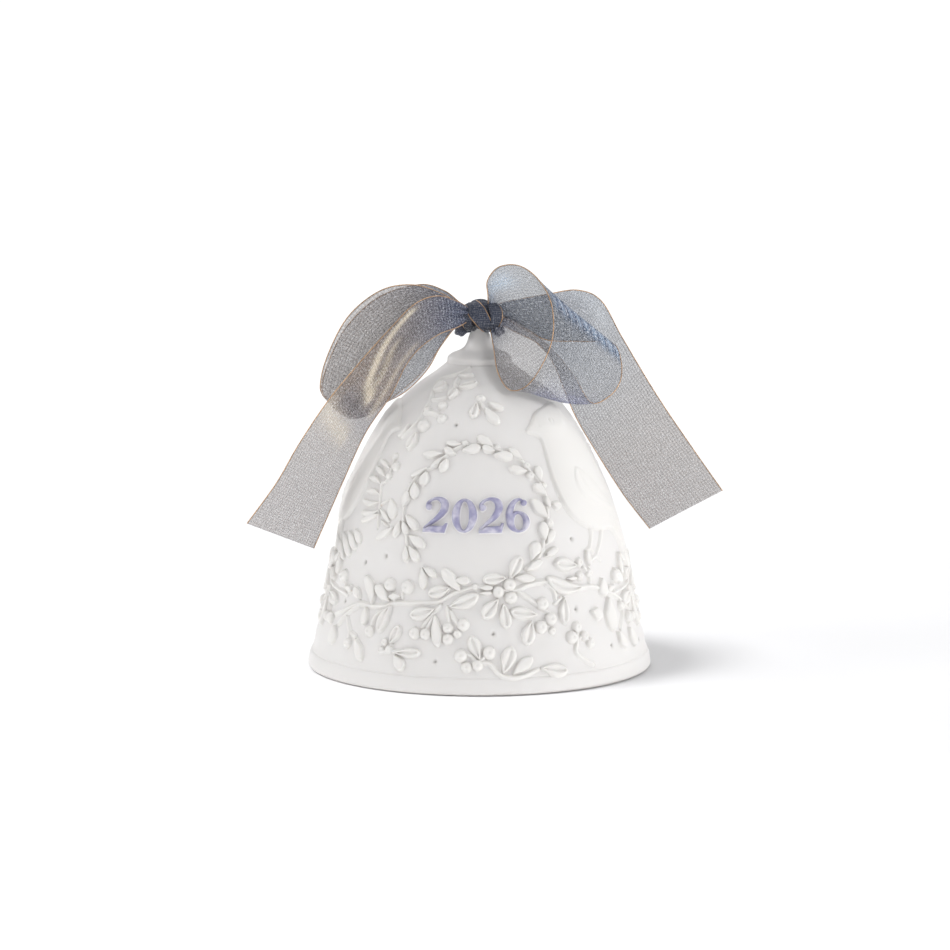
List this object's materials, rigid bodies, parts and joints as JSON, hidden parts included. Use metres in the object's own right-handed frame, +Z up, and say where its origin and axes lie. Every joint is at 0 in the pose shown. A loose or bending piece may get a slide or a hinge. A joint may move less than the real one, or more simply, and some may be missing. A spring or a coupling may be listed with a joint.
{
  "type": "christmas bell ornament",
  "caption": "Matte white porcelain bell with raised mistletoe, birds and a year, an inner clapper, and a tied sheer ribbon bow through its top lug.",
  "frame": {"origin": "centre of the rim plane, on the bell's axis", "axes": "+Z up along the bell's axis towards the lug; -Y is the face with the year; +X to the right of that face"},
  "size_m": [0.1095, 0.0798, 0.0951],
  "materials": {
    "bisque_porcelain": "unglazed matte white bisque with a very fine grain",
    "bisque_relief": "unglazed matte white bisque, applied relief",
    "lilac_bisque": "matte lilac stain on raised figures with paler edges",
    "steel_wire": "drawn steel wire",
    "glazed_ball": "smooth white glazed porcelain",
    "organza": "sheer grey-blue organza with a changing gold and blue sheen",
    "organza_knot": "gathered organza, dark navy where many layers lie together",
    "copper_selvedge": "copper-gold metallic thread over a fine wire"
  },
  "bodies": {
    "bell": {"bell_shell": "bisque_porcelain", "crown_lug": "bisque_porcelain", "clapper_staple": "steel_wire", "numeral_two_first": "lilac_bisque", "numeral_zero": "lilac_bisque", "numeral_two_second": "lilac_bisque", "numeral_six": "lilac_bisque", "wreath": "bisque_relief", "garland_front_left": "bisque_relief", "garland_front_right": "bisque_relief", "garland_right": "bisque_relief", "garland_back": "bisque_relief", "garland_left": "bisque_relief", "sprig_top_left": "bisque_relief", "sprig_top_centre": "bisque_relief", "sprig_bottom": "bisque_relief", "sprig_lower_left": "bisque_relief", "sprig_lower_right": "bisque_relief", "sprig_side_left": "bisque_relief", "sprig_side_right": "bisque_relief", "sprig_back": "bisque_relief", "bird_right": "bisque_relief", "bird_left": "bisque_relief"},
    "clapper_link": {"clapper_link": "steel_wire"},
    "clapper": {"clapper_stem": "steel_wire", "clapper_ball": "glazed_ball", "clapper_end_crimp": "steel_wire"},
    "bow": {"ribbon_knot": "organza_knot", "ribbon_eye_strand": "organza_knot", "loop_left": "organza", "loop_right": "organza", "loop_left_outer_wire": "copper_selvedge", "loop_left_inner_wire": "copper_selvedge", "loop_right_front_wire": "copper_selvedge", "loop_right_rear_wire": "copper_selvedge"},
    "tail_left": {"tail_left": "organza", "tail_left_outer_wire": "copper_selvedge", "tail_left_inner_wire": "copper_selvedge"},
    "tail_right": {"tail_right": "organza", "tail_right_outer_wire": "copper_selvedge", "tail_right_inner_wire": "copper_selvedge"}
  },
  "joints": [
    {"name": "link_swing", "type": "hinge", "parent": "bell", "child": "clapper_link", "pos_m": [0, 0, 0.0622], "axis": [1, 0, 0], "range_deg": [-25, 25]},
    {"name": "clapper_swing", "type": "hinge", "parent": "clapper_link", "child": "clapper", "pos_m": [0, 0, 0.05909], "axis": [0, 1, 0], "range_deg": [-25, 25]},
    {"name": "bow_rock", "type": "hinge", "parent": "bell", "child": "bow", "pos_m": [0, 0, 0.079], "axis": [1, 0, 0], "range_deg": [-3, 6]},
    {"name": "tail_left_lift", "type": "hinge", "parent": "bow", "child": "tail_left", "pos_m": [-0.004, -0.009, 0.0825], "axis": [-0.45, 0.893, 0], "range_deg": [0, 30]},
    {"name": "tail_right_lift", "type": "hinge", "parent": "bow", "child": "tail_right", "pos_m": [0.005, -0.0045, 0.082], "axis": [0, -1, 0], "range_deg": [0, 35]}
  ]
}
